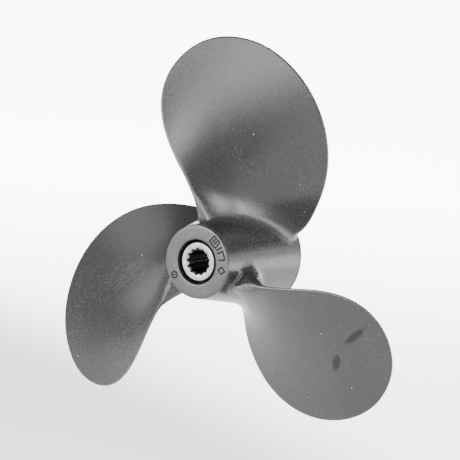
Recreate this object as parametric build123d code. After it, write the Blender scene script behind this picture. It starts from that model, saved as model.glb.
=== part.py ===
# Right-hand three-blade outboard propeller with a pressed rubber slip hub.
#
# The frame: +Y runs forward along the propeller shaft, +Z is up and +X is to the
# right of someone looking forward at the aft end. The origin is on the shaft axis,
# at the forward thrust face of the splined sleeve. Millimetres throughout.
#
# Stations along the shaft are counted forward from the hub's aft face, and
# `place` moves each finished piece so that the thrust face lies at Y = 0.
# Angles about the shaft are counted from +X towards +Z.

import os
from math import asin, cos, pi, radians, sin, sqrt

from build123d import *

# The screw: three blades, each a helicoid whose pitch eases off towards the tip.
BLADE_COUNT = 3
TIP_RADIUS = 149.2
MEAN_RADIUS = 0.6 * TIP_RADIUS
PITCH_AT_MEAN = 257.6
PITCH_FALL = 0.315          # pitch lost for each millimetre of radius
RAKE = 0.165                # forward lean of the blade's centre line, per millimetre
BLADE_STATION = 14.2        # where that centre line would cross the shaft axis

# The blade's outline. The stations run out from ROOT_RADIUS to the tip on equal
# steps of angle, r = root + (tip - root) * sin(angle), and at each one the two
# edges are given as arc lengths from the centre line, towards the trailing edge.
ROOT_RADIUS = 22.0
LEADING_EDGE = (-25.0, -47.4, -59.9, -65.8, -64.4, -56.0, -42.4, -25.6, -8.0, 10.5)
TRAILING_EDGE = (12.0, 14.8, 26.4, 39.0, 47.8, 50.9, 47.6, 38.8, 26.5, 10.5)

# Blade thickness, and the swelling where it runs into the hub.
EDGE_THICKNESS = 2.2
ROOT_THICKNESS = 9.0
FULLNESS = 1.3              # how quickly the section thins towards its two edges
FLARE_RADIUS = 48.5
FLARE_RATE = 0.024
HEEL_RATE = 1.0             # how fast the heel behind the trailing edge's root deepens
# The blunt facet across the root of the trailing edge: its station on the axis,
# then how far it leans forward per millimetre round towards the trailing edge
# and aft per millimetre out along the blade.
FACET_STATION = 20.8
FACET_LEAN_ROUND = 0.43
FACET_LEAN_OUT = 0.42

# The hub barrel: a cone that widens forward to the gearcase's diameter.
HUB_LENGTH = 72.6
AFT_RADIUS = 24.8
FORWARD_RADIUS = 37.3
HUB_CHAMFER = 0.6
AFT_HOLE_RADIUS = 15.2
BUSH_BORE_RADIUS = 19.5
AFT_WALL = 8.0

# Three cored pockets in the forward end, between the bush boss and the outer wall.
POCKET_FLOOR = 34.0
BOSS_RADIUS = 24.6
BARREL_WALL = 5.0
WEB_THICKNESS = 6.0

# The rubber bush, moulded round the sleeve and pressed into the barrel.
BUSH_AFT = 9.0
BUSH_FORWARD = 66.0
BUSH_CHAMFER = 1.5
RUNNING_CLEARANCE = 0.05

# The splined sleeve that slides on the propeller shaft.
SLEEVE_RADIUS = 12.9
SLEEVE_AFT = 1.6
SLEEVE_FORWARD = 71.6
SPLINE_TEETH = 13
SPLINE_PHASE = 15.0         # angle of one groove about the shaft
SPLINE_MAJOR_RADIUS = 9.4
SPLINE_MINOR_RADIUS = 8.0
GROOVE_ROOT_WIDTH = 1.0
GROOVE_MOUTH_WIDTH = 2.1
MOUTH_CHAMFER = 0.8
PILOT_RADIUS = 10.0
PILOT_DEPTH = 8.0
SLEEVE_CHAMFER = 0.5

SHAFT_FRONT = Plane.XZ      # its normal is -Y, its x is +X and its y is +Z


def place(shape):
    """Move a finished piece from hub stations to the frame of the part."""
    return Pos(0, -SLEEVE_FORWARD, 0) * shape


def about_shaft(shape, angle):
    """Turn a shape about the shaft, from +X towards +Z."""
    return Rot(0, -angle, 0) * shape


def along_shaft(sketch, start, end):
    """Extrude a sketch drawn in the XZ plane from one station to another."""
    return Pos(0, start, 0) * extrude(SHAFT_FRONT * sketch, amount=-(end - start))


def turned(profile):
    """Revolve a closed outline of (radius, station) points about the shaft."""
    outline = Polyline(*profile, close=True)
    return revolve(make_face(outline), axis=Axis.Y)


def cone_radius(station):
    return AFT_RADIUS + (FORWARD_RADIUS - AFT_RADIUS) * station / HUB_LENGTH


# ---------------------------------------------------------------- the blade

def lead_per_radian(radius):
    """How far the helicoid climbs along the shaft for each radian of turn."""
    return (PITCH_AT_MEAN - PITCH_FALL * (radius - MEAN_RADIUS)) / (2 * pi)


def flare(radius):
    """Extra material on each side of the blade, along the shaft, near the hub."""
    return FLARE_RATE * max(0.0, FLARE_RADIUS - radius) ** 2


def station_radii():
    steps = len(LEADING_EDGE) - 1
    span = TIP_RADIUS - ROOT_RADIUS
    return [ROOT_RADIUS + span * sin(pi / 2 * i / steps) for i in range(steps + 1)]


def blade_point(radius, turn, station):
    """A point of blade 1, whose centre line points up; turn is in radians."""
    return Vector(-radius * sin(turn), station, radius * cos(turn))


def helicoid_station(radius, turn):
    """The screw surface, which runs through the middle of the blade's rim."""
    return BLADE_STATION + RAKE * radius - lead_per_radian(radius) * turn


def edge_arc(edge, reach):
    """Arc length of the leading or trailing edge at a share of the blade's span."""
    place = asin(reach) / (pi / 2) * (len(edge) - 1)
    step = min(int(place), len(edge) - 2)
    return edge[step] + (place - step) * (edge[step + 1] - edge[step])


def span_share(radius):
    return min(1.0, max(0.0, (radius - ROOT_RADIUS) / (TIP_RADIUS - ROOT_RADIUS)))


def chord_share(radius, turn):
    """How far across the blade from its leading edge, from 0 to 1."""
    reach = span_share(radius)
    leading, trailing = edge_arc(LEADING_EDGE, reach), edge_arc(TRAILING_EDGE, reach)
    return min(1.0, max(0.0, (radius * turn - leading) / max(1.0, trailing - leading)))


def thickness(radius, turn):
    """Thickness square to the blade, fullest at mid-chord, flares left out."""
    thinning = (1 - span_share(radius)) ** 1.2
    section = sin(pi * chord_share(radius, turn)) ** FULLNESS
    return EDGE_THICKNESS + (ROOT_THICKNESS - EDGE_THICKNESS) * thinning * section


def heel(radius, turn):
    """Extra material behind the root of the trailing edge, along the shaft."""
    reach = FLARE_RADIUS - radius
    depth = (reach + sqrt(reach ** 2 + 4)) / 2
    behind = min(1.0, max(0.0, (chord_share(radius, turn) - 0.45) / 0.45))
    return HEEL_RATE * depth * behind ** 2 * (3 - 2 * behind)


def along_the_shaft(radius, length):
    """A length square to the blade, as it measures parallel to the shaft."""
    return length * sqrt(1 + (lead_per_radian(radius) / radius) ** 2)


def pressure_station(radius, turn):
    below = along_the_shaft(radius, EDGE_THICKNESS / 2) + flare(radius)
    return helicoid_station(radius, turn) - below


def suction_station(radius, turn):
    above = along_the_shaft(radius, thickness(radius, turn) - EDGE_THICKNESS / 2)
    return helicoid_station(radius, turn) + above + max(0.6 * flare(radius), heel(radius, turn))


def blade_side(height):
    """One side of the blade, as a smooth face that runs past the outline."""
    radii = [20.0 + 8.0 * i for i in range(18)]
    turns = [radians(-82.0 + 7.0 * i) for i in range(19)]
    grid = [[blade_point(r, t, height(r, t)) for t in turns] for r in radii]
    return Face.make_surface_from_array_of_points(grid, tol=0.05)


def blade_outline():
    """The blade seen along the shaft."""
    radii = station_radii()
    leading = [(r, s / r) for r, s in zip(radii, LEADING_EDGE)]
    trailing = [(r, s / r) for r, s in zip(radii[:-1], TRAILING_EDGE[:-1])]
    rim = leading + trailing[::-1]
    points = [(-r * sin(turn), r * cos(turn)) for r, turn in rim]
    edge = Spline(*points)
    return make_face([edge, Line(edge @ 1, edge @ 0)])


def facet_cutter():
    """Everything aft of the blunt facet at the root of the trailing edge."""
    size = 3 * TIP_RADIUS
    lean = Vector(FACET_LEAN_ROUND, 1, FACET_LEAN_OUT)
    cut = Plane(origin=(0, FACET_STATION, 0), z_dir=lean)
    return cut * Box(size, size, size, align=(Align.CENTER, Align.CENTER, Align.MAX))


def make_blade():
    depth = 200.0
    from_pressure = Solid.extrude(blade_side(pressure_station), Vector(0, depth, 0))
    from_suction = Solid.extrude(blade_side(suction_station), Vector(0, -depth, 0))
    prism = along_shaft(blade_outline(), -depth, depth)
    blade = prism & from_pressure & from_suction
    blade = blade - facet_cutter()
    barrel = turned([(0, -1), (cone_radius(-1), -1),
                     (cone_radius(HUB_LENGTH + 1), HUB_LENGTH + 1), (0, HUB_LENGTH + 1)])
    past_forward_face = along_shaft(Circle(TIP_RADIUS), HUB_LENGTH, 2 * HUB_LENGTH)
    blade = blade - barrel - past_forward_face
    return max(blade.solids(), key=lambda solid: solid.volume)


# ---------------------------------------------------------------- the hub

def make_pockets():
    """The cored ring in the forward end, cut into three by the webs."""
    open_end = HUB_LENGTH + 1
    ring = turned([(BOSS_RADIUS, open_end),
                   (cone_radius(open_end) - BARREL_WALL, open_end),
                   (cone_radius(POCKET_FLOOR) - BARREL_WALL + 1.0, POCKET_FLOOR),
                   (BOSS_RADIUS, POCKET_FLOOR)])
    web = Pos(0, HUB_LENGTH / 2, 30) * Box(WEB_THICKNESS, 2 * HUB_LENGTH, 60)
    for blade in range(BLADE_COUNT):
        ring = ring - about_shaft(web, 360 / BLADE_COUNT * blade)
    return ring


def make_hub_barrel():
    edge = HUB_CHAMFER
    barrel = turned([(BUSH_BORE_RADIUS, AFT_WALL), (AFT_HOLE_RADIUS, AFT_WALL),
                     (AFT_HOLE_RADIUS, edge), (AFT_HOLE_RADIUS + edge, 0),
                     (AFT_RADIUS - edge, 0), (cone_radius(edge), edge),
                     (cone_radius(HUB_LENGTH - edge), HUB_LENGTH - edge),
                     (FORWARD_RADIUS - edge, HUB_LENGTH),
                     (BUSH_BORE_RADIUS + edge, HUB_LENGTH),
                     (BUSH_BORE_RADIUS, HUB_LENGTH - edge)])
    return barrel - make_pockets()


# ---------------------------------------------------------------- the slip hub

def make_rubber_bush():
    inner = SLEEVE_RADIUS + RUNNING_CLEARANCE
    outer = BUSH_BORE_RADIUS - RUNNING_CLEARANCE
    return turned([(inner, BUSH_AFT), (outer - BUSH_CHAMFER, BUSH_AFT),
                   (outer, BUSH_AFT + BUSH_CHAMFER),
                   (outer, BUSH_FORWARD - BUSH_CHAMFER),
                   (outer - BUSH_CHAMFER, BUSH_FORWARD), (inner, BUSH_FORWARD)])


def spline_bore():
    """Cross-section of the hole: the minor circle and its ring of grooves."""
    bore = Circle(SPLINE_MINOR_RADIUS)
    half_root = GROOVE_ROOT_WIDTH / 2
    half_mouth = GROOVE_MOUTH_WIDTH / 2
    groove = make_face(Polyline((0, -half_mouth), (SPLINE_MINOR_RADIUS, -half_mouth),
                                (SPLINE_MAJOR_RADIUS, -half_root),
                                (SPLINE_MAJOR_RADIUS, half_root),
                                (SPLINE_MINOR_RADIUS, half_mouth), (0, half_mouth),
                                close=True))
    for tooth in range(SPLINE_TEETH):
        bore = bore + Rot(0, 0, SPLINE_PHASE + 360 / SPLINE_TEETH * tooth) * groove
    return bore


def make_splined_sleeve():
    edge = SLEEVE_CHAMFER
    mouth = SPLINE_MINOR_RADIUS + MOUTH_CHAMFER
    tube = turned([(0, SLEEVE_AFT), (SLEEVE_RADIUS - edge, SLEEVE_AFT),
                   (SLEEVE_RADIUS, SLEEVE_AFT + edge),
                   (SLEEVE_RADIUS, SLEEVE_FORWARD - edge),
                   (SLEEVE_RADIUS - edge, SLEEVE_FORWARD), (0, SLEEVE_FORWARD)])
    spline = along_shaft(spline_bore(), SLEEVE_AFT - 1, SLEEVE_FORWARD + 1)
    pilot = along_shaft(Circle(PILOT_RADIUS), SLEEVE_FORWARD - PILOT_DEPTH, SLEEVE_FORWARD + 1)
    lead_in = turned([(0, SLEEVE_AFT), (mouth, SLEEVE_AFT),
                      (SPLINE_MINOR_RADIUS, SLEEVE_AFT + MOUTH_CHAMFER),
                      (0, SLEEVE_AFT + MOUTH_CHAMFER)])
    return tube - spline - pilot - lead_in


# ---------------------------------------------------------------- the pieces

def main():
    os.makedirs("parts", exist_ok=True)
    pieces = {"hub_barrel": make_hub_barrel(),
              "rubber_bush": make_rubber_bush(),
              "splined_sleeve": make_splined_sleeve()}
    blade = make_blade()
    for number in range(BLADE_COUNT):
        pieces[f"blade_{number + 1}"] = about_shaft(blade, 360 / BLADE_COUNT * number)
    for name, piece in pieces.items():
        export_step(place(piece), f"parts/{name}.step")


main()
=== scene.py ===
from math import asin, cos, pi, radians, sin, tau

import bmesh
import bpy
import numpy as np
from mathutils import Matrix, Vector
from mathutils.geometry import delaunay_2d_cdt


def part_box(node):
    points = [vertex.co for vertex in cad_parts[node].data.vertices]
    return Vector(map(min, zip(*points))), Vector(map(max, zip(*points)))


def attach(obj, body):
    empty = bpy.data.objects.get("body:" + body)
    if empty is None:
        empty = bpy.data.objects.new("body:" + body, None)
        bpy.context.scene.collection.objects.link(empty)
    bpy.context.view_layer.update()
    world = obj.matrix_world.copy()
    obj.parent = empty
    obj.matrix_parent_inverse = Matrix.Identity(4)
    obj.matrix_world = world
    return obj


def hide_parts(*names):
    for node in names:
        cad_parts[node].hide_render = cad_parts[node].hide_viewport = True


# The looks of the boat propeller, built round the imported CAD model.
#
# Shapes are worked out in millimetres, on stations counted forward along the shaft
# from the hub's aft face, and mesh_piece() moves them to the frame, in metres.
# Angles about the shaft run from +X towards +Z. On blade 1, which points up, a
# "turn" is an angle from its centre line towards the trailing edge.

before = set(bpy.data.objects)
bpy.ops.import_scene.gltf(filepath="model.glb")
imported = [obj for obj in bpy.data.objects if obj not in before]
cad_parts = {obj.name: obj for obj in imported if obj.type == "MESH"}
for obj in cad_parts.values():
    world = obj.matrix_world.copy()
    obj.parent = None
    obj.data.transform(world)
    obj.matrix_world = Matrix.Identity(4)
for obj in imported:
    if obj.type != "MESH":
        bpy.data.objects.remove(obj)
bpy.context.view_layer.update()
MM = 0.001

# Sizes that the CAD nodes carry.
hub_low, hub_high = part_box("hub_barrel")
sleeve_low, sleeve_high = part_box("splined_sleeve")
bush_low, bush_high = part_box("rubber_bush")
AFT_FACE = hub_low.y / MM
HUB_LENGTH = (hub_high.y - hub_low.y) / MM
SLEEVE_AFT = sleeve_low.y / MM - AFT_FACE
SLEEVE_FORWARD = sleeve_high.y / MM - AFT_FACE
SLEEVE_RADIUS = sleeve_high.x / MM
BUSH_AFT = bush_low.y / MM - AFT_FACE
BUSH_FORWARD = bush_high.y / MM - AFT_FACE
BUSH_RADIUS = bush_high.x / MM

# The screw, the outline and the thickness of a blade, as in the CAD source.
BLADE_COUNT = 3
TIP_RADIUS = 149.2
MEAN_RADIUS = 0.6 * TIP_RADIUS
PITCH_AT_MEAN = 257.6
PITCH_FALL = 0.315
RAKE = 0.165
BLADE_STATION = 14.2
ROOT_RADIUS = 22.0
LEADING_EDGE = (-25.0, -47.4, -59.9, -65.8, -64.4, -56.0, -42.4, -25.6, -8.0, 10.5)
TRAILING_EDGE = (12.0, 14.8, 26.4, 39.0, 47.8, 50.9, 47.6, 38.8, 26.5, 10.5)
EDGE_THICKNESS = 2.2
ROOT_THICKNESS = 9.0
FULLNESS = 1.3
FLARE_RADIUS = 48.5
FLARE_RATE = 0.024
HEEL_RATE = 1.0
FACET_STATION = 20.8
FACET_LEAN_ROUND = 0.43
FACET_LEAN_OUT = 0.42
THICKNESS_FALL = 1.2        # how fast the fullness runs out towards the tip
BACK_FLARE = 0.6            # the back's flare, as a share of the face's
HEEL_START, HEEL_SPAN = 0.45, 0.45      # shares of the chord

# How the visual model softens the blade, in millimetres.
FACET_CORNER = 1.6
HEEL_ROUNDING = 2.0
LEAST_THICKNESS = 0.4       # where the facet meets the back
LEAST_ROUNDING = 0.3        # of the rim, there
LEAST_CHORD = 1.0           # at the tip, where both edges meet
INBOARD_REACH = -0.1        # how far the outline runs on under the barrel, in spans

# The barrel and the slip hub, as in the CAD source.
AFT_RADIUS = 24.8
FORWARD_RADIUS = 37.3
AFT_HOLE_RADIUS = 15.2
BUSH_BORE_RADIUS = 19.5
AFT_WALL = 8.0
POCKET_FLOOR = 34.0
BOSS_RADIUS = 24.6
BARREL_WALL = 5.0
WEB_THICKNESS = 6.0
SPLINE_TEETH = 13
SPLINE_PHASE = 15.0
SPLINE_MAJOR_RADIUS = 9.4
SPLINE_MINOR_RADIUS = 8.0
PILOT_RADIUS = 10.0
PILOT_DEPTH = 8.0


# ---- mesh helpers ----

def turned_about_shaft(points, angle):
    """Points of an (n, 3) array, turned about the shaft from +X towards +Z."""
    x, y, z = points.T
    return np.column_stack([x * cos(angle) - z * sin(angle), y,
                            x * sin(angle) + z * cos(angle)])


def mesh_piece(name, points, faces, sharp_degrees=40.0):
    """A smooth-shaded object from points on hub stations, in millimetres."""
    placed = (np.asarray(points, float) + (0, AFT_FACE, 0)) * MM
    mesh = bpy.data.meshes.new(name)
    mesh.from_pydata(placed.tolist(), [], [tuple(int(i) for i in f) for f in faces])
    mesh.validate()
    shell = bmesh.new()
    shell.from_mesh(mesh)
    bmesh.ops.recalc_face_normals(shell, faces=shell.faces)
    shell.to_mesh(mesh)
    shell.free()
    mesh.shade_smooth()
    mesh.set_sharp_from_angle(angle=radians(sharp_degrees))
    piece = bpy.data.objects.new(name, mesh)
    bpy.context.scene.collection.objects.link(piece)
    return piece


def merged(points, faces, distance=0.01):
    """Weld points that lie together, and drop the faces and corners that vanish."""
    cells = {}
    keep = []
    home = np.empty(len(points), int)
    for i, key in enumerate(map(tuple, np.round(points / distance).astype(int))):
        near = [(key[0] + a, key[1] + b, key[2] + c)
                for a in (-1, 0, 1) for b in (-1, 0, 1) for c in (-1, 0, 1)]
        found = next((cells[n] for n in near if n in cells
                      and np.linalg.norm(points[keep[cells[n]]] - points[i]) < distance), None)
        if found is None:
            found = len(keep)
            cells[key] = found
            keep.append(i)
        home[i] = found
    kept_faces = []
    for face in faces:
        ring = []
        for corner in face:
            here = home[corner]
            if here not in ring:
                ring.append(here)
        if len(ring) > 2:
            kept_faces.append(tuple(ring))
    return points[keep], kept_faces


def ring_faces(loops, size, closed_ends=False, endless=False):
    """Quads between successive closed loops of points, each `size` long.

    The first and the last loop can be capped, or joined to each other.
    """
    faces = []
    for row in range(loops - 1):
        a, b = row * size, (row + 1) * size
        faces += [(a + i, a + (i + 1) % size, b + (i + 1) % size, b + i) for i in range(size)]
    if closed_ends:
        faces.append(tuple(reversed(range(size))))
        faces.append(tuple(range((loops - 1) * size, loops * size)))
    if endless:
        last = (loops - 1) * size
        faces += [(last + i, last + (i + 1) % size, (i + 1) % size, i) for i in range(size)]
    return faces


def joined(*parts):
    """Several (points, faces) lists as one."""
    points, faces, start = [], [], 0
    for some_points, some_faces in parts:
        points.append(np.asarray(some_points, float))
        faces += [tuple(i + start for i in face) for face in some_faces]
        start += len(some_points)
    return np.vstack(points), faces


def quarter_arc(centre, radius, start, end, steps=4):
    """Points of an arc in the (radius, station) plane; angles in degrees."""
    angles = [radians(start + (end - start) * i / steps) for i in range(steps + 1)]
    return [(centre[0] + radius * cos(a), centre[1] + radius * sin(a)) for a in angles]


def revolved(profile, angles):
    """Loops of points about the shaft, one for each (radius, station) of a profile."""
    return np.array([(r * cos(a), y, r * sin(a)) for r, y in profile for a in angles])


def smooth_curve(knots, values):
    """A natural cubic spline through the given values, as a function."""
    knots, values = np.asarray(knots, float), np.asarray(values, float)
    gaps, rises = np.diff(knots), np.diff(values)
    count = len(knots)
    system, load = np.eye(count), np.zeros(count)
    for i in range(1, count - 1):
        system[i, i - 1:i + 2] = gaps[i - 1], 2 * (gaps[i - 1] + gaps[i]), gaps[i]
        load[i] = 6 * (rises[i] / gaps[i] - rises[i - 1] / gaps[i - 1])
    bend = np.linalg.solve(system, load)

    def curve(x):
        i = np.clip(np.searchsorted(knots, x) - 1, 0, count - 2)
        gap, left, right = gaps[i], knots[i + 1] - x, x - knots[i]
        return ((bend[i] * left ** 3 + bend[i + 1] * right ** 3) / (6 * gap)
                + (values[i] / gap - bend[i] * gap / 6) * left
                + (values[i + 1] / gap - bend[i + 1] * gap / 6) * right)
    return curve


def soft_max(a, b, width):
    """The larger of two values, with the corner between them rounded."""
    gap = a - b
    return (a + b + np.sqrt(gap ** 2 + width ** 2)) / 2


def eased(share):
    """A share from 0 to 1, with a gentle start and end."""
    return share ** 2 * (3 - 2 * share)


# ---- the blade ----

FORWARD = np.array([0.0, 1.0, 0.0])
STATION_ANGLES = np.linspace(0, pi / 2, len(LEADING_EDGE))
leading_curve = smooth_curve(STATION_ANGLES, LEADING_EDGE)
trailing_curve = smooth_curve(STATION_ANGLES, TRAILING_EDGE)


def cone_radius(station):
    return AFT_RADIUS + (FORWARD_RADIUS - AFT_RADIUS) * station / HUB_LENGTH


def blade_angle(radius):
    reach = (radius - ROOT_RADIUS) / (TIP_RADIUS - ROOT_RADIUS)
    return np.arcsin(np.clip(reach, INBOARD_REACH, 1.0))


def lead_per_radian(radius):
    return (PITCH_AT_MEAN - PITCH_FALL * (radius - MEAN_RADIUS)) / tau


def flare(radius):
    return FLARE_RATE * np.maximum(0.0, FLARE_RADIUS - radius) ** 2


def chord_share(radius, arc):
    """How far across the blade from its leading edge, from 0 to 1."""
    angle = blade_angle(radius)
    leading, trailing = leading_curve(angle), trailing_curve(angle)
    return np.clip((arc - leading) / np.maximum(trailing - leading, LEAST_CHORD), 0, 1)


def thickness(radius, arc):
    """How thick the blade is: fullest near the middle of the chord, thin at both edges."""
    reach = np.clip((radius - ROOT_RADIUS) / (TIP_RADIUS - ROOT_RADIUS), 0, 1)
    fullest = EDGE_THICKNESS + (ROOT_THICKNESS - EDGE_THICKNESS) * (1 - reach) ** THICKNESS_FALL
    section = np.sin(pi * chord_share(radius, arc)) ** FULLNESS
    return EDGE_THICKNESS + (fullest - EDGE_THICKNESS) * section


def heel(radius, arc):
    """Extra material behind the root of the trailing edge, along the shaft."""
    depth = soft_max(FLARE_RADIUS - radius, 0.0, HEEL_ROUNDING)
    behind = np.clip((chord_share(radius, arc) - HEEL_START) / HEEL_SPAN, 0, 1)
    return HEEL_RATE * depth * eased(behind)


def helicoid(radius, arc):
    """Points of the screw surface through the blade's rim, and its forward unit normals."""
    turn = arc / radius
    lead = lead_per_radian(radius)
    out = np.stack([-np.sin(turn), np.zeros_like(turn), np.cos(turn)], -1)
    round_ = np.stack([-np.cos(turn), np.zeros_like(turn), -np.sin(turn)], -1)
    station = BLADE_STATION + RAKE * radius - lead * turn
    points = radius[..., None] * out + station[..., None] * FORWARD
    climb_out = RAKE + PITCH_FALL * turn / tau
    normal = FORWARD + (lead / radius)[..., None] * round_ - climb_out[..., None] * out
    return points, normal / np.linalg.norm(normal, axis=-1, keepdims=True)


def back_of_blade(radius, arc):
    """The suction side, not yet rounded at the rim."""
    points, normal = helicoid(radius, arc)
    swell = np.maximum(BACK_FLARE * flare(radius), heel(radius, arc))[..., None] * FORWARD
    return points + normal * (thickness(radius, arc) - EDGE_THICKNESS / 2)[..., None] + swell


def face_of_blade(radius, arc):
    """The working side, not yet rounded at the rim or cut by the facet."""
    points, normal = helicoid(radius, arc)
    return points - normal * EDGE_THICKNESS / 2 - flare(radius)[..., None] * FORWARD


def facet_station(points):
    """Where the blunt facet across the trailing edge's root cuts, at given points."""
    return FACET_STATION - FACET_LEAN_ROUND * points[..., 0] - FACET_LEAN_OUT * points[..., 2]


HALVINGS = 40               # in each search for a crossing
ARC_LIMITS = (-40.0, 80.0)
RIM_SAMPLES = 260
SPAN_ANGLES = np.linspace(0, pi / 2, RIM_SAMPLES)


def narrowed(low, high, is_before):
    """Two limits drawn together round the place where is_before() stops being true."""
    for _ in range(HALVINGS):
        middle = (low + high) / 2
        before = is_before(middle)
        low = np.where(before, middle, low)
        high = np.where(before, high, middle)
    return low, high


def trimmed_trailing_edge():
    """The trailing edge's arc at each step of span, cut short where the facet ends it."""
    radius = ROOT_RADIUS + (TIP_RADIUS - ROOT_RADIUS) * np.sin(SPAN_ANGLES)

    def clear_of_facet(arc):
        back = back_of_blade(radius, arc)
        return back[:, 1] > facet_station(back)

    low, _ = narrowed(*(np.full_like(radius, arc) for arc in ARC_LIMITS), clear_of_facet)
    return -soft_max(-trailing_curve(SPAN_ANGLES), -low, FACET_CORNER)


trimmed_arcs = trimmed_trailing_edge()
trimmed_arcs[-1] = LEADING_EDGE[-1]


def trailing_arc(angle):
    return np.interp(angle, SPAN_ANGLES, trimmed_arcs)


def rim_distance(radius, arc):
    """How far points of the unrolled blade lie inside its outline."""
    rim_radius = ROOT_RADIUS + (TIP_RADIUS - ROOT_RADIUS) * np.sin(SPAN_ANGLES)
    rim = np.concatenate([np.column_stack([leading_curve(SPAN_ANGLES), rim_radius]),
                          np.column_stack([trimmed_arcs, rim_radius])[::-1]])
    here = np.column_stack([arc.ravel(), radius.ravel()])
    best = np.full(len(here), np.inf)
    for start, end in zip(rim[:-1], rim[1:]):
        along = end - start
        length = along @ along
        if length < 1e-9:
            continue
        share = np.clip(((here - start) @ along) / length, 0, 1)
        gap = here - start - share[:, None] * along
        best = np.minimum(best, (gap ** 2).sum(1))
    return np.sqrt(best).reshape(arc.shape)


def blade_surfaces(radius, share):
    """The working face and the back at a share of the chord, rounded to meet at the rim."""
    angle = blade_angle(radius)
    leading, trailing = leading_curve(angle), trailing_arc(angle)
    arc = leading + (trailing - leading) * share
    face, back = face_of_blade(radius, arc), back_of_blade(radius, arc)
    face[..., 1] = soft_max(face[..., 1], facet_station(face), FACET_CORNER)
    face[..., 1] = np.minimum(face[..., 1], back[..., 1] - LEAST_THICKNESS)
    round_depth = np.clip(np.linalg.norm(back - face, axis=-1) / 2,
                          LEAST_ROUNDING, EDGE_THICKNESS / 2)
    inside = np.clip(rim_distance(radius, arc) / round_depth, 0, 1)
    full = np.sqrt(1 - (1 - inside) ** 2)[..., None]
    middle = (face + back) / 2
    return middle + (face - middle) * full, middle + (back - middle) * full


def hub_height(points):
    return np.hypot(points[..., 0], points[..., 2]) - cone_radius(points[..., 1])


CHORD_STEPS = 52
SPAN_STEPS = 64
FILLET_ROWS = 9
FILLET_SHARE = 0.055        # of the span, that those rows cover
FILLET_CROWDING = 1.3       # draws them towards the foot
FOOT_LIMIT = 60.0           # beyond any point of the foot, from the shaft
FOOT_MARGIN = 1.3           # from the forward face to the foot


def blade_grid():
    """Closed loops round the blade, from its foot on the barrel out to the tip."""
    share = (1 + np.cos(np.linspace(0, pi, CHORD_STEPS + 1))) / 2

    def in_barrel(radius):
        return np.stack([hub_height(blade_surfaces(radius[side], share)[side])
                         for side in (0, 1)]) < 0

    low, high = narrowed(*(np.full((2, CHORD_STEPS + 1), radius)
                           for radius in (ROOT_RADIUS, FOOT_LIMIT)), in_barrel)
    foot = (low + high) / 2
    root_part = FILLET_SHARE * (np.arange(FILLET_ROWS) / FILLET_ROWS) ** FILLET_CROWDING
    rest = np.linspace(0, pi / 2, SPAN_STEPS - FILLET_ROWS + 1)
    rows = np.concatenate([root_part, FILLET_SHARE + (1 - FILLET_SHARE) * np.sin(rest)])
    sides = []
    for side in (0, 1):
        radius = foot[side] + rows[:, None] * (TIP_RADIUS - foot[side])
        sides.append(blade_surfaces(radius, np.broadcast_to(share, radius.shape))[side])
    return np.concatenate([sides[0], sides[1][:, -2:0:-1]], axis=1)


FILLET_AFT, FILLET_AFT_RISE, FILLET_AFT_POWER = 2.0, 2.6, 0.7
FILLET_FORWARD, FILLET_FORWARD_RISE = 3.4, 1.2
FILLET_RUN = 14.0           # from each end of the foot to where the fillet is full


def fillet_radius(loop):
    """A radius for each point round the foot: small at the two ends, full between."""
    aft, forward = loop[:, 1] - loop[:, 1].min(), loop[:, 1].max() - loop[:, 1]
    from_aft = np.clip(aft / FILLET_RUN, 0, 1) ** FILLET_AFT_POWER
    from_forward = np.clip(forward / FILLET_RUN, 0, 1)
    return np.minimum(FILLET_AFT + FILLET_AFT_RISE * from_aft,
                      FILLET_FORWARD + FILLET_FORWARD_RISE * from_forward)


def with_root_fillet(grid):
    """Spread the first loops so that they run tangentially into the barrel."""
    foot = grid[0]
    along = np.roll(foot, -1, 0) - np.roll(foot, 1, 0)
    slope = (FORWARD_RADIUS - AFT_RADIUS) / HUB_LENGTH
    reach = np.hypot(foot[:, 0], foot[:, 2])
    up = np.column_stack([foot[:, 0] / reach, np.full(len(foot), -slope), foot[:, 2] / reach])
    outward = np.cross(along, up)
    outward /= np.linalg.norm(outward, axis=1, keepdims=True)
    if ((foot - foot.mean(0)) * outward).sum() < 0:
        outward = -outward
    radius = fillet_radius(foot)
    for loop in grid:
        height = hub_height(loop)
        inside = np.clip(height, 0, radius)
        spread = radius - np.sqrt(np.maximum(0, 2 * radius * inside - inside ** 2))
        loop += outward * spread[:, None]
        loop[:, 1] = np.minimum(loop[:, 1], HUB_LENGTH - FOOT_MARGIN)
        wanted = cone_radius(loop[:, 1]) + height
        scale = np.where(spread > 0, wanted / np.hypot(loop[:, 0], loop[:, 2]), 1.0)
        loop[:, 0] *= scale
        loop[:, 2] *= scale
    return grid


# ---- the barrel ----

RIM_STEPS = 48              # points on a third of each rim
RIM_ROUNDING = 0.6
HOLE_ROUNDING = 0.5
CONE_STEPS = 33             # along the barrel, on the seams between the thirds
CONE_PITCH = 2.4            # between the points of the cone's surface
CONE_ROW = 0.87             # between rows of them, in pitches
SEAM_GAP = 1.0              # that those points keep from the seams
FOOT_GAP = 1.1              # and from a blade's foot
SECTOR_START, SECTOR_TWIST = 20.0, -80.0


def sector_centre(station):
    """The middle of blade 1's third of the barrel, as a turn in degrees."""
    along = (station - RIM_ROUNDING) / (HUB_LENGTH - 2 * RIM_ROUNDING)
    return SECTOR_START + SECTOR_TWIST * along


def inside_polygon(points, polygon):
    x, y = points[:, 0], points[:, 1]
    inside = np.zeros(len(points), bool)
    for (x1, y1), (x2, y2) in zip(polygon, np.roll(polygon, -1, 0)):
        crosses = (y1 > y) != (y2 > y)
        if y1 != y2:
            inside ^= crosses & (x < x1 + (y - y1) * (x2 - x1) / (y2 - y1))
    return inside


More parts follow.
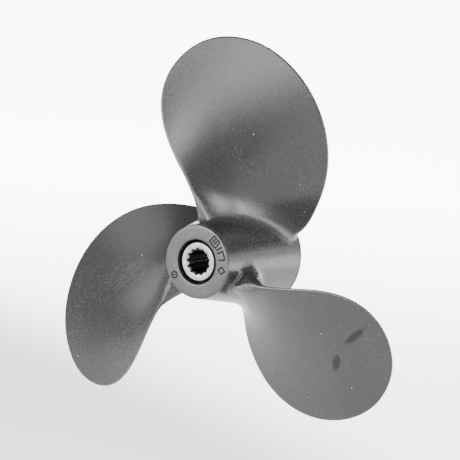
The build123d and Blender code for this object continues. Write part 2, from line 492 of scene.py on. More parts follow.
def triangulated(flat, rims, weld, is_kept):
    """The triangles between closed rims in a plane whose centres are kept."""
    edges = [(first + i, first + (i + 1) % count) for count, first in rims for i in range(count)]
    made = delaunay_2d_cdt([Vector(p) for p in flat], edges, [], 0, weld)
    spots = np.array([tuple(p) for p in made[0]])
    centres = np.array([spots[list(face)].mean(0) for face in made[2]])
    return spots, [tuple(face) for face, keep in zip(made[2], is_kept(centres)) if keep]


def barrel_sector(foot):
    """A third of the barrel's cone, triangulated round a blade's foot."""
    middle_radius = cone_radius(HUB_LENGTH / 2)
    start, end = RIM_ROUNDING, HUB_LENGTH - RIM_ROUNDING
    turn = np.degrees(np.arctan2(-foot[:, 0], foot[:, 2]))
    flat_foot = np.column_stack([np.radians(turn - sector_centre(foot[:, 1])) * middle_radius,
                                 foot[:, 1]])
    half = pi / BLADE_COUNT * middle_radius
    across = np.linspace(-half, half, RIM_STEPS + 1)
    up = np.linspace(start, end, CONE_STEPS + 1)
    border = ([(u, start) for u in across] + [(half, y) for y in up[1:-1]]
              + [(u, end) for u in across[::-1]] + [(-half, y) for y in up[-2:0:-1]])
    pitch = CONE_PITCH
    inner = [(-half + pitch * (i + 0.5 * (j % 2)), start + CONE_ROW * pitch * j)
             for j in range(1, int((end - start) / pitch / CONE_ROW) + 1)
             for i in range(1, int(2 * half / pitch))]
    inner = np.array([(u, y) for u, y in inner if end - y > SEAM_GAP and half - abs(u) > SEAM_GAP])
    clear = ~inside_polygon(inner, flat_foot)
    for spot in flat_foot:
        clear &= np.hypot(*(inner - spot).T) > FOOT_GAP
    flat = np.vstack([border, flat_foot, inner[clear]])
    rims = [(len(border), 0), (len(flat_foot), len(border))]
    spots, faces = triangulated(flat, rims, 1e-5,
                                lambda centres: ~inside_polygon(centres, flat_foot))
    station = spots[:, 1]
    turn = spots[:, 0] / middle_radius + np.radians(sector_centre(station))
    radius = cone_radius(station)
    points = np.column_stack([-radius * np.sin(turn), station, radius * np.cos(turn)])
    return points, faces


POCKET_CORNER = 1.6
POCKET_CORNER_STEPS = 4
POCKET_ARC_STEPS = 26
POCKET_FLOOR_STEP = 1.0     # how much thinner the wall is at the floor
# A pocket's sides: (depth from its mouth, inset), then (height above its floor, inset).
POCKET_MOUTH = ((0.0, -0.9), (0.3, -0.4), (0.7, -0.12), (1.2, 0.0))
POCKET_FOOT = ((1.0, 0.0), (0.3, 0.15), (0.0, 0.45))


def pocket_outer(station):
    """Outer radius of the cored pockets, which taper with the barrel."""
    share = (station - POCKET_FLOOR) / (HUB_LENGTH - POCKET_FLOOR)
    floor = cone_radius(POCKET_FLOOR) - BARREL_WALL + POCKET_FLOOR_STEP
    return floor + (FORWARD_RADIUS - BARREL_WALL - floor) * share


def pocket_outline(inner, outer, web):
    """(radius, swing) points round one pocket: two arcs, two web sides, round corners."""
    outline = []
    corner = min(POCKET_CORNER, 0.45 * (outer - inner))

    def add(radius, side, inset):
        swing = pi / BLADE_COUNT - asin(web / radius) - inset / radius
        outline.append((radius, side * swing))

    for radius, outwards, side in ((inner, 1, -1), (outer, -1, -1), (outer, -1, 1), (inner, 1, 1)):
        for step in range(POCKET_CORNER_STEPS + 1):
            turn = radians(90 * step / POCKET_CORNER_STEPS)
            across, along = corner * (1 - cos(turn)), corner * (1 - sin(turn))
            if outwards * side > 0:
                across, along = along, across
            add(radius + outwards * across, side, along)
        if (outwards, side) in ((-1, -1), (1, 1)):
            start, steps = outline[-1][1], POCKET_ARC_STEPS
            outline += [(radius, start - 2 * start * i / steps) for i in range(1, steps)]
    return outline


def pocket_walls(middle):
    """One cored pocket's loops, from its mouth, which opens out a little, to its floor."""
    levels = [(HUB_LENGTH - depth, inset) for depth, inset in POCKET_MOUTH]
    levels += [(POCKET_FLOOR + height, inset) for height, inset in POCKET_FOOT]
    points = []
    for station, inset in levels:
        inner, outer = BOSS_RADIUS + inset, pocket_outer(station) - inset
        for radius, swing in pocket_outline(inner, outer, WEB_THICKNESS / 2 + inset):
            points.append((radius * cos(middle + swing), station, radius * sin(middle + swing)))
    size = len(points) // len(levels)
    return np.array(points), ring_faces(len(levels), size)


def flat_fill(loops, station):
    """Triangles at one station, inside the first loop of points and outside the others."""
    flat = [loop[:, [0, 2]] for loop in loops]
    rims = [(len(loop), sum(map(len, flat[:i]))) for i, loop in enumerate(flat)]

    def between(centres):
        return sum(inside_polygon(centres, loop).astype(int) for loop in flat) == 1

    spots, faces = triangulated(np.vstack(flat), rims, 1e-6, between)
    return np.column_stack([spots[:, 0], np.full(len(spots), station), spots[:, 1]]), faces


AFT_FACE_RINGS = (22.0, 19.8, 17.6)


def barrel_ends():
    """The aft ring, the hole through it, the bush bore, the forward face and its pockets."""
    edge, small = RIM_ROUNDING, HOLE_ROUNDING
    inside = [(cone_radius(edge), edge)]
    inside += quarter_arc((AFT_RADIUS - edge, edge), edge, -10, -90)
    inside += [(r, 0.0) for r in AFT_FACE_RINGS]
    inside += quarter_arc((AFT_HOLE_RADIUS + small, small), small, -90, -180)
    inside += [(AFT_HOLE_RADIUS, AFT_WALL * 0.5)]
    inside += quarter_arc((AFT_HOLE_RADIUS + small, AFT_WALL - small), small, 180, 90)
    inside += [(BUSH_BORE_RADIUS, AFT_WALL), (BUSH_BORE_RADIUS, HUB_LENGTH / 2)]
    inside += quarter_arc((BUSH_BORE_RADIUS + edge, HUB_LENGTH - edge), edge, 180, 90)
    rim = quarter_arc((FORWARD_RADIUS - edge, HUB_LENGTH - edge), edge, 90, 10)
    rim += [(cone_radius(HUB_LENGTH - edge), HUB_LENGTH - edge)]
    count = BLADE_COUNT * RIM_STEPS
    first = pi / 2 + radians(SECTOR_START)
    angles = [first + tau * i / count for i in range(count)]
    turned = [(revolved(profile, angles), ring_faces(len(profile), count))
              for profile in (inside, rim)]
    pockets = [pocket_walls(pi / 2 + pi / BLADE_COUNT + tau * k / BLADE_COUNT)
               for k in range(BLADE_COUNT)]
    size = len(pocket_outline(BOSS_RADIUS, FORWARD_RADIUS - BARREL_WALL, WEB_THICKNESS))
    mouths, floors = zip(*((points[:size], points[-size:]) for points, _ in pockets))
    bore, rim_face = turned[0][0][-count:], turned[1][0][:count]
    face = flat_fill([rim_face, bore, *mouths], HUB_LENGTH)
    return joined(*turned, *pockets, face, *(flat_fill([floor], POCKET_FLOOR) for floor in floors))


def make_casting():
    """The barrel and its three blades, as the one casting that they are."""
    grid = with_root_fillet(blade_grid())
    rows, size = grid.shape[:2]
    blade = (grid.reshape(-1, 3), ring_faces(rows, size))
    third = joined(blade, barrel_sector(grid[0]))
    thirds = [(turned_about_shaft(third[0], tau * k / BLADE_COUNT), third[1])
              for k in range(BLADE_COUNT)]
    return mesh_piece("casting", *merged(*joined(*thirds, barrel_ends())))


# ---- the marks on the ring ----

MARK_SIZE = 0.6             # radius of the raised lines
MARK_SIDES = 10
MARK_DEPTH = 0.12           # of their middles below the aft face
MARK_FLATNESS = 0.8
MARK_ENDS = ((0.95, 0.3), (0.7, 0.7))   # (beyond the end, width), in mark sizes
MARK_RADIUS = 20.3          # of the circle that the marks stand on
# Outlines as (outwards, round) offsets from their places on that circle.
MARK_FRAME = [(-2.7, -3.0), (-2.7, 3.0), (2.7, 3.0), (2.7, -3.0)]
MARK_DIAMOND = [(-2.6, 0.0), (0.0, 2.4), (2.6, 0.0), (0.0, -2.4)]
FRAME_ANGLE, DIAMOND_ANGLE = 50, -8
FRAME_BARS, FRAME_BAR_REACH = (-1.0, 1.0), 1.3
BAR_ANGLES, BAR_REACH = (34, 27, 12), 2.3
ARC_RADIUS, ARC_ANGLES = 22.4, np.linspace(15, 24, 6)
SPOT_RADIUS, SPOT_ANGLE, SPOT_SIZE, SPOT_STEPS = 20.2, 214, 2.1, 28
SPOT_BAR = [(-0.3, 0), (0.3, 0)]


def raised_line(path, closed=False):
    """A round line half sunk in the aft face, along (x, z) points."""
    path = np.asarray(path, float)
    if closed:
        along = np.roll(path, -1, 0) - np.roll(path, 1, 0)
        widths = np.full(len(path), MARK_SIZE)
    else:
        along = np.gradient(path, axis=0)
        first, last = path[0], path[-1]
        step = along / np.linalg.norm(along, axis=1, keepdims=True) * MARK_SIZE
        tapers = [width for _, width in MARK_ENDS]
        widths = np.array(tapers + [1.0] * len(path) + tapers[::-1]) * MARK_SIZE
        path = np.vstack([[first - step[0] * beyond for beyond, _ in MARK_ENDS], path,
                          [last + step[-1] * beyond for beyond, _ in MARK_ENDS[::-1]]])
        along = np.vstack([along[:1], along[:1], along, along[-1:], along[-1:]])
    along = along / np.linalg.norm(along, axis=1, keepdims=True)
    sideways = np.column_stack([-along[:, 1], along[:, 0]])
    points = []
    for spot, side, width in zip(path, sideways, widths):
        for k in range(MARK_SIDES):
            turn = tau * k / MARK_SIDES
            x, z = spot + side * width * cos(turn)
            points.append((x, MARK_DEPTH - width * sin(turn) * MARK_FLATNESS, z))
    return np.array(points), ring_faces(len(path), MARK_SIDES, not closed, closed)


def on_ring(radius, angle, local):
    """Move (outwards, round) offsets to (x, z) at a place on the aft face."""
    a = radians(angle)
    return [((radius + out) * cos(a) - across * sin(a), (radius + out) * sin(a) + across * cos(a))
            for out, across in local]


def make_marks():
    """Plain raised foundry marks: a frame round two bars, more bars, a diamond and a ring."""
    turns = [tau * i / SPOT_STEPS for i in range(SPOT_STEPS)]
    circle = [(SPOT_SIZE * cos(turn), SPOT_SIZE * sin(turn)) for turn in turns]
    lines = [raised_line(on_ring(SPOT_RADIUS, SPOT_ANGLE, circle), closed=True),
             raised_line(on_ring(SPOT_RADIUS, SPOT_ANGLE, SPOT_BAR))]
    for angle, corners in ((FRAME_ANGLE, MARK_FRAME), (DIAMOND_ANGLE, MARK_DIAMOND)):
        for start, end in zip(corners, corners[1:] + corners[:1]):
            lines.append(raised_line(on_ring(MARK_RADIUS, angle, [start, end])))
    bars = [(FRAME_ANGLE, FRAME_BAR_REACH, across) for across in FRAME_BARS]
    bars += [(angle, BAR_REACH, 0) for angle in BAR_ANGLES]
    for angle, reach, across in bars:
        lines.append(raised_line(on_ring(MARK_RADIUS, angle, [(-reach, across), (reach, across)])))
    lines.append(raised_line([on_ring(ARC_RADIUS, angle, [(0, 0)])[0] for angle in ARC_ANGLES]))
    return mesh_piece("casting_marks", *joined(*lines))


# ---- the slip hub ----

FLANK_RADIUS = SPLINE_MINOR_RADIUS + 0.6    # where the grooves' widths are measured
GROOVE_HALF_WIDTH = 0.42
FLANK_WIDTH = 0.72
# Points across one tooth space, as arcs at the flank radius.
SPLINE_ARCS = np.array([-1.95, -1.6, -1.25, -1.05, -0.9, -0.72, -0.56, -0.42, -0.2,
                        0, 0.2, 0.42, 0.56, 0.72, 0.9, 1.05, 1.25, 1.6])
SLEEVE_ROUNDING = 0.5
FACE_RADII = (11.6, 10.4)   # of the rings on the sleeve's faces
MOUTH_RADIUS = SPLINE_MINOR_RADIUS + 0.85
MOUTH_STRETCH = 1.5         # how much deeper the grooves look at their chamfered mouth
MOUTH_LIP = 0.15
MOUTH_DEPTHS = (0.15, 0.35, 0.6, 0.85, 1.0)
PILOT_CHAMFER = 0.3


def spline_radius(angle):
    """The hole's radius round the shaft: lands at the minor radius, grooves between."""
    pitch = 360 / SPLINE_TEETH
    swing = (np.degrees(angle) - SPLINE_PHASE + pitch / 2) % pitch - pitch / 2
    across = np.abs(np.radians(swing)) * FLANK_RADIUS
    share = np.clip((across - GROOVE_HALF_WIDTH) / FLANK_WIDTH, 0, 1)
    return SPLINE_MAJOR_RADIUS - (SPLINE_MAJOR_RADIUS - SPLINE_MINOR_RADIUS) * eased(share)


def make_sleeve():
    """The splined sleeve: one closed skin, from the aft face in through the hole and round."""
    pitch = tau / SPLINE_TEETH
    angles = np.concatenate([radians(SPLINE_PHASE) + pitch * k + SPLINE_ARCS / FLANK_RADIUS
                             for k in range(SPLINE_TEETH)])
    spline = spline_radius(angles)
    even = np.ones_like(angles)
    aft, forward, edge, lip = SLEEVE_AFT, SLEEVE_FORWARD, SLEEVE_ROUNDING, MOUTH_LIP
    loops = [(r * even, y) for r, y in
             quarter_arc((SLEEVE_RADIUS - edge, aft + edge), edge, 0, -90)]
    loops += [(r * even, aft) for r in FACE_RADII]
    star = np.maximum(SPLINE_MINOR_RADIUS + MOUTH_STRETCH * (spline - SPLINE_MINOR_RADIUS),
                      MOUTH_RADIUS)
    loops += [(star + lip, aft), (star + 0.3 * lip, aft + 0.05)]
    loops += [(np.maximum(spline, MOUTH_RADIUS - depth + 0.1), aft + depth)
              for depth in MOUTH_DEPTHS]
    step = forward - PILOT_DEPTH
    pilot, chamfer = PILOT_RADIUS * even, PILOT_CHAMFER
    loops += [(spline, y) for y in np.linspace(aft + 3, step - chamfer, 12)]
    loops += [(spline + 0.25, step), (pilot - 0.2, step), (pilot, step + 0.2),
              (pilot, forward - chamfer), (pilot + 0.3 * chamfer, forward - 0.3 * chamfer),
              (pilot + chamfer, forward), (FACE_RADII[0] * even, forward)]
    loops += [(r * even, y) for r, y in
              quarter_arc((SLEEVE_RADIUS - edge, forward - edge), edge, 90, 0)]
    points = np.vstack([np.column_stack([r * np.cos(angles), np.full(len(r), y),
                                         r * np.sin(angles)]) for r, y in loops])
    return mesh_piece("sleeve", points, ring_faces(len(loops), len(angles), endless=True))


BUSH_CLEARANCE = 0.05       # between the bush's bore and the sleeve
BUSH_ROUNDING = 0.8
BUSH_SIDES = 120
DISH_DEPTH = 1.6
DISH_REACH = 0.86           # of the way from the middle of the rubber to its skins
RIB_HEIGHT, RIB_WAVES = 0.12, 14


def make_bush():
    """The moulded rubber bush, with dished ends and a rib round each."""
    inner, outer, edge = SLEEVE_RADIUS + BUSH_CLEARANCE, BUSH_RADIUS, BUSH_ROUNDING
    middle, half = (inner + outer) / 2, (outer - inner) / 2
    dish = [(middle + half * across,
             DISH_DEPTH * (1 - (across / DISH_REACH) ** 2) + RIB_HEIGHT * cos(RIB_WAVES * across))
            for across in np.linspace(-DISH_REACH, DISH_REACH, 13)]
    profile = [(r, BUSH_AFT + 0.3 + depth) for r, depth in dish]
    profile += quarter_arc((outer - edge, BUSH_AFT + 1.0), edge, -60, 0)
    profile += [(outer, y) for y in np.linspace(BUSH_AFT + 3, BUSH_FORWARD - 3, 8)]
    profile += quarter_arc((outer - edge, BUSH_FORWARD - 1.0), edge, 0, 60)
    profile += [(r, BUSH_FORWARD - 0.3 - depth) for r, depth in dish[::-1]]
    profile += [(inner, BUSH_FORWARD - 0.9), (inner, BUSH_AFT + 0.9)]
    angles = [tau * i / BUSH_SIDES for i in range(BUSH_SIDES)]
    return mesh_piece("bush", revolved(profile, angles),
                      ring_faces(len(profile), BUSH_SIDES, endless=True))


# ---- materials ----

class Recipe:
    """A node material and short ways to wire it."""

    def __init__(self, name, metallic, specular=0.5):
        self.material = bpy.data.materials.new(name)
        self.material.use_nodes = True
        self.nodes = self.material.node_tree.nodes
        self.links = self.material.node_tree.links
        self.shader = self.nodes["Principled BSDF"]
        self.shader.inputs["Metallic"].default_value = metallic
        self.shader.inputs["Specular IOR Level"].default_value = specular
        self.place = self.add("ShaderNodeTexCoord").outputs["Object"]

    def add(self, kind, **settings):
        node = self.nodes.new(kind)
        for key, value in settings.items():
            setattr(node, key, value)
        return node

    def wire(self, source, target):
        self.links.new(source, target)

    def noise(self, scale, detail=3.0, roughness=0.5, distortion=0.0, place=None):
        node = self.add("ShaderNodeTexNoise")
        node.inputs["Scale"].default_value = scale
        node.inputs["Detail"].default_value = detail
        node.inputs["Roughness"].default_value = roughness
        node.inputs["Distortion"].default_value = distortion
        self.wire(place or self.place, node.inputs["Vector"])
        return node.outputs["Fac"]

    def spread(self, value, low, high, to_low, to_high):
        """A value's range laid out over another, and held at its two ends."""
        node = self.add("ShaderNodeMapRange")
        self.wire(value, node.inputs["Value"])
        for socket, number in zip(("From Min", "From Max", "To Min", "To Max"),
                                  (low, high, to_low, to_high)):
            node.inputs[socket].default_value = number
        return node.outputs["Result"]

    def smooth(self, value, low, high, to_low, to_high):
        """The same, with a gentle start and end."""
        result = self.spread(value, low, high, to_low, to_high)
        result.node.interpolation_type = "SMOOTHSTEP"
        return result

    def along(self, direction):
        """How far a point lies in a direction, in metres."""
        node = self.add("ShaderNodeVectorMath", operation="DOT_PRODUCT")
        node.inputs[1].default_value = direction
        self.wire(self.place, node.inputs[0])
        return node.outputs["Value"]

    def ramp(self, value, *stops):
        node = self.add("ShaderNodeValToRGB")
        elements = node.color_ramp.elements
        while len(elements) < len(stops):
            elements.new(0.5)
        for element, (place, colour) in zip(elements, stops):
            element.position = place
            element.color = (*colour, 1)
        self.wire(value, node.inputs["Fac"])
        return node.outputs["Color"]

    def mix(self, share, first, second, blend="MIX"):
        node = self.add("ShaderNodeMix", data_type="RGBA", blend_type=blend)
        sockets = [s for s in node.inputs if s.type == "RGBA"]
        for socket, value in zip([node.inputs["Factor"], *sockets], (share, first, second)):
            if isinstance(value, (int, float)):
                socket.default_value = value
            elif isinstance(value, tuple):
                socket.default_value = (*value, 1)
            else:
                self.wire(value, socket)
        return next(s for s in node.outputs if s.type == "RGBA")

    def maths(self, operation, *values):
        node = self.add("ShaderNodeMath", operation=operation)
        for socket, value in zip(node.inputs, values):
            if isinstance(value, (int, float)):
                socket.default_value = value
            else:
                self.wire(value, socket)
        return node.outputs["Value"]

    def bump(self, heights):
        """Bumps from (height, strength, depth in metres), coarse ones first."""
        normal = None
        for height, strength, depth in heights:
            node = self.add("ShaderNodeBump")
            node.inputs["Strength"].default_value = strength
            node.inputs["Distance"].default_value = depth
            self.wire(height, node.inputs["Height"])
            if normal is not None:
                self.wire(normal, node.inputs["Normal"])
            normal = node.outputs["Normal"]
        self.wire(normal, self.shader.inputs["Normal"])

    def axes(self):
        split = self.add("ShaderNodeSeparateXYZ")
        self.wire(self.place, split.inputs["Vector"])
        return split.outputs

    def radius_from_shaft(self):
        squares = [self.maths("POWER", self.axes()[axis], 2.0) for axis in ("X", "Z")]
        return self.maths("SQRT", self.maths("ADD", *squares))

    def patch(self, start, end, width):
        """1 in the middle of a long patch between two points, and 0 from its rim on."""
        start, end = Vector(start) * MM, Vector(end) * MM
        along = end - start
        across = width * MM
        local = self.add("ShaderNodeMapping", vector_type="TEXTURE")
        local.inputs["Location"].default_value = (start + end) / 2
        local.inputs["Rotation"].default_value = along.to_track_quat("X", "Z").to_euler()
        local.inputs["Scale"].default_value = (along.length / 2 + across, across, across)
        self.wire(self.place, local.inputs["Vector"])
        ball = self.add("ShaderNodeTexGradient", gradient_type="SPHERICAL")
        self.wire(local.outputs["Vector"], ball.inputs["Vector"])
        return ball.outputs["Fac"]

    def patches(self, places):
        """The strongest of several patches at each point."""
        strongest = 0.0
        for start, end, width in places:
            strongest = self.maths("MAXIMUM", strongest, self.patch(start, end, width))
        return strongest

    def specks(self, scale, size, share):
        """Round spots scattered through space, 1 in their middles."""
        cells = self.add("ShaderNodeTexVoronoi")
        cells.inputs["Scale"].default_value = scale
        self.wire(self.place, cells.inputs["Vector"])
        chance = self.add("ShaderNodeSeparateXYZ")
        self.wire(cells.outputs["Color"], chance.inputs["Vector"])
        spot = self.spread(cells.outputs["Distance"], size * 0.4, size, 1.0, 0.0)
        return self.maths("MULTIPLY", spot, self.maths("LESS_THAN", chance.outputs["X"], share))


PAINT = tuple(0.018 * c for c in (0.99, 1.0, 1.02))
RING_PAINT = (0.03, 0.03, 0.03)
WORN_PAINT = (0.3, 0.3, 0.295)
DUST = (0.5, 0.5, 0.49)
SMEAR = (0.003, 0.003, 0.003)
PAINT_ROUGHNESS = 0.27
RING_DULLING = 0.02
SMEAR_DULLING = 0.2
SMEAR_METALLIC = 0.35       # takes the white sheen off the dark smears
# Where the paint of this propeller is smeared and where it has wrinkled: both ends of a
# patch in the part's frame, and its width.
SMEARS = (((103.7, -45.6, -42.0), (122.0, -50.0, -26.2), 3.2),
          ((97.6, -41.8, -51.3), (94.2, -38.3, -60.3), 3.8))
WRINKLES = (((2.0, -43.0, 86.0), (15.0, -38.0, 62.0), 13.0),
            ((-60.0, -45.0, -10.0), (-95.0, -35.0, -30.0), 16.0))


def paint_colour(paint, broad, fine, speck, ring, smear):
    """Near-black, paler on the aft ring, with worn edges, dust, flecks and dark smears."""
    tone = paint.ramp(broad, (0.3, (0.9, 0.9, 0.91)), (0.7, (1.08, 1.08, 1.08)))
    grain = paint.ramp(fine, (0.35, (0.93, 0.93, 0.93)), (0.65, (1.05, 1.05, 1.05)))
    colour = paint.mix(1.0, PAINT, tone, "MULTIPLY")
    colour = paint.mix(1.0, colour, grain, "MULTIPLY")
    rubbed = paint.spread(paint.noise(260, 4, 0.6), 0.35, 0.65, 0.55, 1.0)
    colour = paint.mix(paint.maths("MULTIPLY", ring, rubbed), colour, RING_PAINT)
    edges = paint.spread(paint.add("ShaderNodeNewGeometry").outputs["Pointiness"],
                         0.52, 0.58, 0.0, 0.7)
    worn = paint.maths("MULTIPLY", edges, paint.spread(fine, 0.4, 0.6, 0.3, 1.0))
    colour = paint.mix(worn, colour, WORN_PAINT)
    dust = paint.specks(95, 0.045, 0.6)
    flecks = paint.maths("MULTIPLY", paint.spread(speck, 0.62, 0.72, 0.0, 0.35),
                         paint.spread(broad, 0.4, 0.6, 0.2, 1.0))
    colour = paint.mix(paint.maths("MAXIMUM", dust, flecks), colour, DUST)
    return paint.mix(smear, colour, SMEAR)


def painted_casting():
    """Satin black paint over a cast surface, smeared and wrinkled in a few places."""
    paint = Recipe("satin_black_paint", metallic=0.0)
    sockets = paint.shader.inputs
    broad, fine = paint.noise(16, 4), paint.noise(800, 3, 0.6)
    speck, peel = paint.noise(1500, 2, 0.7), paint.noise(900, 2, 0.5)
    ring = paint.spread(paint.axes()["Y"], (AFT_FACE + 0.15) * MM, (AFT_FACE + 0.5) * MM, 1.0, 0.0)
    ragged = paint.spread(paint.noise(180, 5, 0.7), 0.3, 0.6, 0.5, 2.2)
    smear = paint.maths("MULTIPLY", paint.patches(SMEARS), ragged)
    smear = paint.spread(smear, 0.12, 0.9, 0.0, 0.9)
    paint.wire(paint_colour(paint, broad, fine, speck, ring, smear), sockets["Base Color"])
    satin = paint.spread(fine, 0.3, 0.7, PAINT_ROUGHNESS - 0.02, PAINT_ROUGHNESS + 0.03)
    satin = paint.maths("ADD", satin, paint.maths("MULTIPLY", ring, RING_DULLING))
    satin = paint.maths("ADD", satin, paint.maths("MULTIPLY", smear, SMEAR_DULLING))
    paint.wire(satin, sockets["Roughness"])
    paint.wire(paint.maths("MULTIPLY", smear, SMEAR_METALLIC), sockets["Metallic"])
    wrinkled = paint.maths("MULTIPLY", paint.patches(WRINKLES),
                           paint.spread(broad, 0.35, 0.6, 0.2, 1.0))
    folds = paint.maths("MULTIPLY", paint.noise(330, 1, distortion=1.6), wrinkled)
    ring_grain = paint.maths("MULTIPLY", ring, fine)
    paint.bump([(broad, 0.12, 0.0012), (folds, 0.6, 0.0018), (peel, 0.2, 0.00008),
                (fine, 0.3, 0.00012), (speck, 0.25, 0.00006), (ring_grain, 0.5, 0.0002)])
    return paint.material


def marks_painted_shade():
    """The marks' paint, made near-black as painted shade along their raised lines, and mottled."""
    marks_shade = Recipe("marks_painted_shade", metallic=0.0, specular=0.1)
    mottle = marks_shade.noise(700, 3)
    # Painted shade: near-black all over, standing in for the shade round the raised lines.
    colour = marks_shade.ramp(mottle, (0.3, (0.004, 0.004, 0.004)), (0.7, (0.02, 0.02, 0.019)))
    marks_shade.wire(colour, marks_shade.shader.inputs["Base Color"])
    marks_shade.wire(marks_shade.spread(mottle, 0.3, 0.7, 0.5, 0.8), marks_shade.shader.inputs["Roughness"])
    marks_shade.bump([(mottle, 0.3, 0.0001)])
    return marks_shade.material


# Painted shade in the spline's bore: where it starts, and where it is full.
BORE_SHADE_START, BORE_SHADE_END = 0.5, 2.5     # depths in the spline, in millimetres


def turned_metal():
    """Pale machined metal with fine turning marks round the shaft, and painted shade deep in the
    spline.
    """
    metal = Recipe("turned_steel", metallic=0.85)
    radius = metal.radius_from_shaft()
    spin = metal.add("ShaderNodeCombineXYZ")
    metal.wire(radius, spin.inputs["X"])
    rings = metal.noise(9000, 3, 0.6, place=spin.outputs["Vector"])
    stain, fine = metal.noise(220, 4), metal.noise(2500, 3)
    tone = metal.ramp(stain, (0.3, (0.18, 0.177, 0.172)), (0.7, (0.32, 0.315, 0.305)))
    colour = metal.mix(metal.spread(rings, 0.3, 0.7, 0.0, 0.25), tone, (0.2, 0.197, 0.19))
    # Painted shade: the metal in the spline turns near-black with depth, standing in for the shade
    # inside the hole.
    in_hole = metal.spread(radius, (SPLINE_MAJOR_RADIUS + 0.15) * MM,
                           (SPLINE_MAJOR_RADIUS + 0.3) * MM, 1.0, 0.0)
    mouth = AFT_FACE + SLEEVE_AFT
    deep = metal.spread(metal.axes()["Y"], (mouth + BORE_SHADE_START) * MM,
                        (mouth + BORE_SHADE_END) * MM, 0.0, 0.93)
    bore_shade = metal.maths("MULTIPLY", in_hole, deep)
    colour = metal.mix(bore_shade, colour, (0.012, 0.011, 0.01))
    metal.wire(colour, metal.shader.inputs["Base Color"])
    metal.wire(metal.spread(fine, 0.3, 0.7, 0.3, 0.48), metal.shader.inputs["Roughness"])
    metal.bump([(rings, 0.25, 0.00005), (fine, 0.2, 0.00005)])
    return metal.material


def moulded_rubber():
    """Matt black rubber with a slight bloom."""
    rubber = Recipe("moulded_rubber", metallic=0.0, specular=0.3)
    bloom, fine = rubber.noise(90, 4), rubber.noise(1400, 3, 0.6)
    colour = rubber.ramp(bloom, (0.3, (0.012, 0.012, 0.013)), (0.75, (0.028, 0.028, 0.029)))
    rubber.wire(colour, rubber.shader.inputs["Base Color"])
    rubber.wire(rubber.spread(fine, 0.3, 0.7, 0.65, 0.9), rubber.shader.inputs["Roughness"])
    rubber.bump([(bloom, 0.2, 0.0005), (fine, 0.35, 0.00015)])
    return rubber.material


# The studio floor: how strongly each zone glows, and the distances in metres over which its
# glow rises. They run away from the sweep's azimuth for the front, near and far zones, and
# to the right of one azimuth or the other for the rest. Azimuths are counted from astern.
SWEEP_AZIMUTH = radians(32.49)
STARBOARD_AZIMUTH = radians(61)
FRONT_GLOW, NEAR_GLOW, NEAR_RISE = 0.4, 1.2, (-0.46, -0.2)
FAR_GLOW, FAR_RISE, FAR_PORT_EDGE = 6.0, (0.25, 1.4), (-0.8, -0.4)
STARBOARD_GLOW, STARBOARD_RISE = 2.6, (0.0, 0.18)
WING_GLOW, WING_RISE, WING_EDGE = 4.5, (0.35, 0.65), (-0.05, 0.15)


def floor_material():
    """A pale sweep, lit from below: brighter beyond the propeller than in front of it."""
    pale = Recipe("pale_floor", metallic=0.0, specular=0.2)
    tone = pale.ramp(pale.noise(3, 3), (0.3, (0.87, 0.87, 0.87)), (0.7, (0.9, 0.9, 0.9)))
    pale.wire(tone, pale.shader.inputs["Base Color"])
    pale.shader.inputs["Roughness"].default_value = 0.8
    beyond = pale.along((-sin(SWEEP_AZIMUTH), cos(SWEEP_AZIMUTH), 0))
    sideways = pale.along((cos(SWEEP_AZIMUTH), sin(SWEEP_AZIMUTH), 0))
    starboard = pale.along((cos(STARBOARD_AZIMUTH), sin(STARBOARD_AZIMUTH), 0))
    glow = pale.smooth(beyond, *NEAR_RISE, FRONT_GLOW, NEAR_GLOW)
    far = pale.maths("MULTIPLY", pale.smooth(beyond, *FAR_RISE, 0.0, FAR_GLOW),
                     pale.smooth(sideways, *FAR_PORT_EDGE, 0.0, 1.0))
    side = pale.smooth(starboard, *STARBOARD_RISE, 0.0, STARBOARD_GLOW)
    wing = pale.maths("MULTIPLY", pale.smooth(sideways, *WING_RISE, 0.0, WING_GLOW),
                      pale.smooth(starboard, *WING_EDGE, 0.0, 1.0))
    for zone in (far, side, wing):
        glow = pale.maths("ADD", glow, zone)
    pale.shader.inputs["Emission Color"].default_value = (1, 1, 1, 1)
    pale.wire(glow, pale.shader.inputs["Emission Strength"])
    return pale.material


# ---- the pieces ----

def finish_piece(piece, body, material, slot, *nodes):
    """Give a piece its material, and say what it rides on and what it stands for; its slot is not
    used.
    """
    piece.data.materials.append(material)
    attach(piece, body)
    if nodes:
        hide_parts(*nodes)


finish_piece(make_casting(), "casting", painted_casting(), "painted_casting",
             "hub_barrel", "blade_1", "blade_2", "blade_3")
# The marks get near-black paint, as painted shade along their raised lines.
finish_piece(make_marks(), "casting", marks_painted_shade(), "painted_casting")
finish_piece(make_sleeve(), "sleeve", turned_metal(), "sleeve_metal", "splined_sleeve")
finish_piece(make_bush(), "bush", moulded_rubber(), "bush_rubber", "rubber_bush")


# ---- floor, camera, lights ----

FLOOR_CLEARANCE = 3.0       # below the circle that the blade tips sweep, in millimetres
FLOOR_RADIUS = 30.0
FLOOR_SIDES = 64


def make_floor():
    """A floor low enough for the blades to turn above it."""
    height = -(TIP_RADIUS + FLOOR_CLEARANCE) * MM
    turns = [tau * i / FLOOR_SIDES for i in range(FLOOR_SIDES)]
    rim = [(FLOOR_RADIUS * cos(turn), FLOOR_RADIUS * sin(turn), height) for turn in turns]
    mesh = bpy.data.meshes.new("floor")
    mesh.from_pydata(rim, [], [tuple(range(FLOOR_SIDES))])
    floor = bpy.data.objects.new("floor", mesh)
    bpy.context.scene.collection.objects.link(floor)
    mesh.materials.append(floor_material())


CAMERA_AZIMUTH = radians(32.49)
CAMERA_ELEVATION = radians(8.98)
CAMERA_ROLL = radians(4.58)
CAMERA_DISTANCE = 2.3957
CAMERA_OFFSET = (0.0223, 0.0213)    # right and up of the aft ring's centre
CAMERA_LENS = 281.1
CAMERA_SENSOR = 36.0
CAMERA_CLIP_END = 200.0


def seen_from(azimuth, elevation):
    """The direction of a place, by its azimuth from astern to starboard and its elevation."""
    return Vector((sin(azimuth) * cos(elevation), -cos(azimuth) * cos(elevation), sin(elevation)))


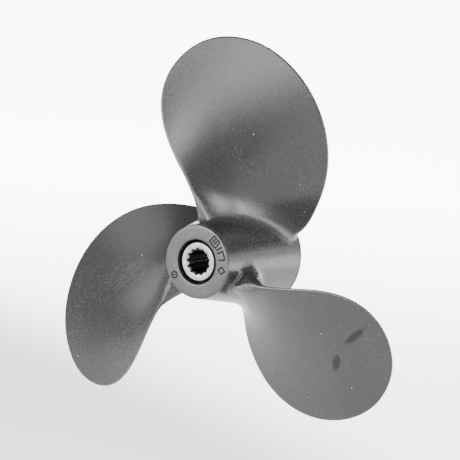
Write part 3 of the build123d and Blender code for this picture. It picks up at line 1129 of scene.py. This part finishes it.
def make_camera():
    """A long lens, aft of the propeller, to its right and a little above."""
    back = seen_from(CAMERA_AZIMUTH, CAMERA_ELEVATION)
    level = Vector((cos(CAMERA_AZIMUTH), sin(CAMERA_AZIMUTH), 0))
    rise = back.cross(level)
    right = level * cos(CAMERA_ROLL) + rise * sin(CAMERA_ROLL)
    up = rise * cos(CAMERA_ROLL) - level * sin(CAMERA_ROLL)
    data = bpy.data.cameras.new("camera")
    data.lens, data.sensor_width = CAMERA_LENS, CAMERA_SENSOR
    data.clip_end = CAMERA_CLIP_END
    camera = bpy.data.objects.new("camera", data)
    bpy.context.scene.collection.objects.link(camera)
    ring_centre = Vector((0, hub_low.y, 0))
    spot = (ring_centre + right * CAMERA_OFFSET[0] + up * CAMERA_OFFSET[1]
            + back * CAMERA_DISTANCE)
    turn = Matrix((right, up, back)).transposed()
    camera.matrix_world = Matrix.LocRotScale(spot, turn.to_quaternion(), None)
    bpy.context.scene.camera = camera


# Soft boxes: azimuth and elevation in degrees, where 0 looks at the propeller from astern
# and 90 from starboard, then diameter in metres and power in watts.
SOFT_BOXES = {
    "port_wing": (-85, 17, 0.8, 4.0),
    "key": (-26, 11, 0.75, 50.0),
    "port_high": (-54, 33, 0.9, 5.0),
    "astern_low": (0, 10, 0.6, 10.0),
    "astern_high": (6, 29, 0.45, 9.0),
    "starboard": (67, 31, 0.6, 15.0),
    "starboard_low": (72, 9, 0.45, 12.0),
    "starboard_bow": (120, 10, 0.6, 4.0),
    "port_bow": (-139, 12, 0.6, 5.0),
}
LIGHT_DISTANCE = 1.8
STUDIO_STRENGTH = 0.25


def make_lights():
    """A white studio, and the soft boxes round the propeller."""
    world = bpy.data.worlds.new("studio")
    world.use_nodes = True
    background = world.node_tree.nodes["Background"]
    background.inputs["Color"].default_value = (1, 1, 1, 1)
    background.inputs["Strength"].default_value = STUDIO_STRENGTH
    bpy.context.scene.world = world
    for name, (azimuth, elevation, size, power) in SOFT_BOXES.items():
        towards = seen_from(radians(azimuth), radians(elevation))
        data = bpy.data.lights.new(name, "AREA")
        data.shape, data.size, data.energy = "DISK", size, power
        light = bpy.data.objects.new(name, data)
        bpy.context.scene.collection.objects.link(light)
        light.location = towards * LIGHT_DISTANCE
        light.rotation_euler = towards.to_track_quat("Z", "Y").to_euler()


make_floor()
make_camera()
make_lights()
